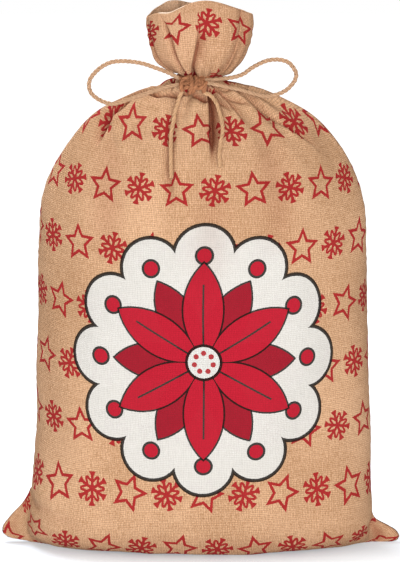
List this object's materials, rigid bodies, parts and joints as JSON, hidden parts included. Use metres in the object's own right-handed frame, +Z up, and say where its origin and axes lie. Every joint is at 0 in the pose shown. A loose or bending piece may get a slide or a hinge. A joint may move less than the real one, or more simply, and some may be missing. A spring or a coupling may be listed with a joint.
{
  "type": "filled burlap sack",
  "caption": "Filled burlap sack standing upright, gathered and tied at the neck with a twine bow, with a flared rim and ear-shaped bottom corners.",
  "frame": {"origin": "middle of the sack's flat base, on the surface that it stands on", "axes": "+Z up from the base to the rim, -Y out of the printed front where the bow is, +X to the right of the front as seen from in front of it"},
  "size_m": [0.4956, 0.2142, 0.6775],
  "materials": {
    "burlap": "matt plain-weave burlap in natural tan, printed in red and off-white",
    "jute_twine": "matt twisted jute twine"
  },
  "bodies": {
    "root": {"sack_front": "burlap", "sack_back": "burlap", "twine_tie": "jute_twine", "twine_loop_left": "jute_twine", "twine_loop_right": "jute_twine", "twine_tail_left": "jute_twine", "twine_tail_right": "jute_twine"}
  },
  "joints": []
}
